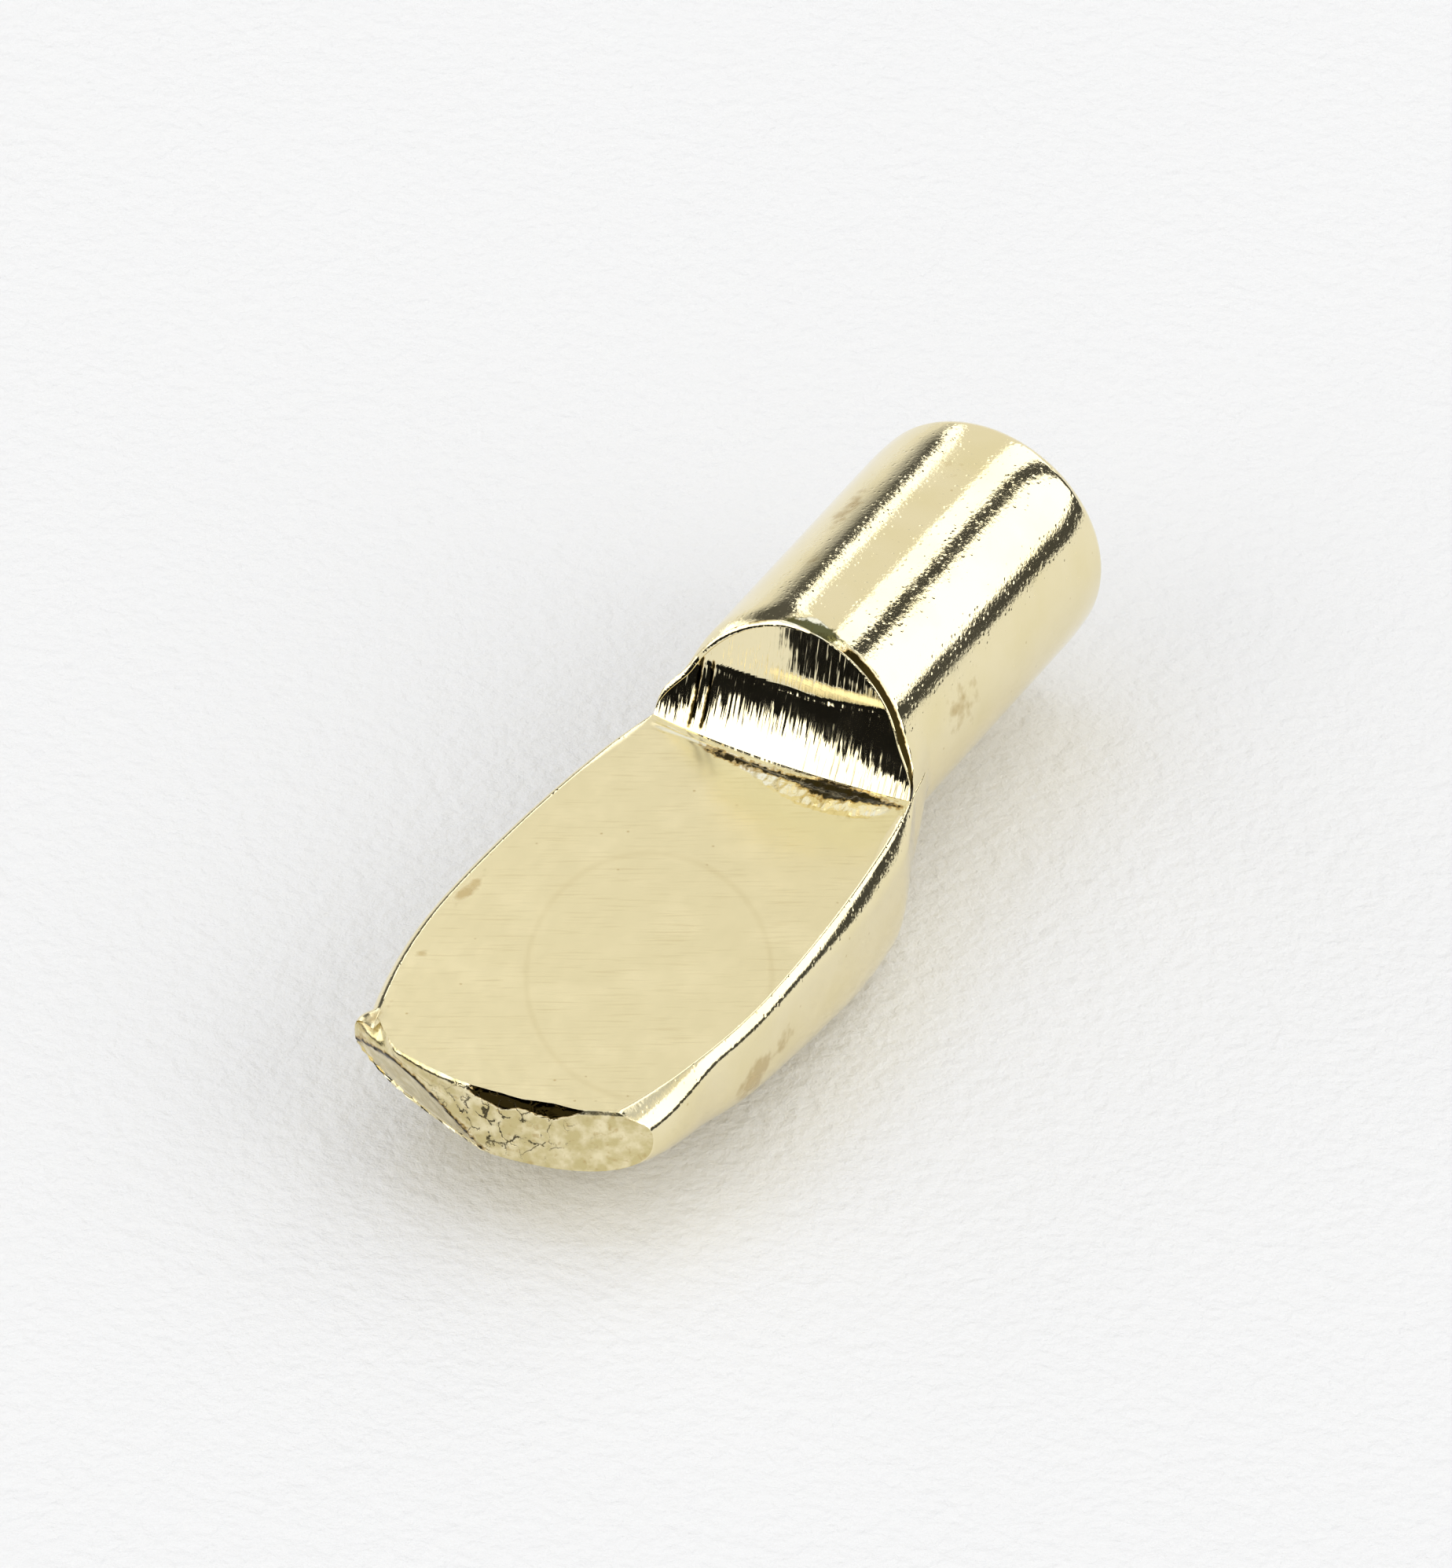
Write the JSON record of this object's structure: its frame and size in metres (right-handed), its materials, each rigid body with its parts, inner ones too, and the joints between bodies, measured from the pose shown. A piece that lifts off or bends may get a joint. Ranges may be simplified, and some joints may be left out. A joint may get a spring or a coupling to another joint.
{
  "type": "spoon shelf support pin",
  "caption": "Round shank that plugs into a cabinet side, with a flat spoon-shaped seat on a rounded belly for a shelf to rest on.",
  "frame": {"origin": "on the shank's axis, where the shank leaves the shoulder, which is the plane of the cabinet's side", "axes": "+Y along the shank to its free end, +Z the normal of the flat seat, so the shelf lies on +Z and +X is across the seat"},
  "size_m": [0.0088, 0.0247, 0.0072],
  "materials": {
    "brass_plate": "bright brass plating over cold-formed steel, with fine scratches, small pits and faint brown stains"
  },
  "bodies": {
    "root": {"shelf_pin": "brass_plate"}
  },
  "joints": []
}
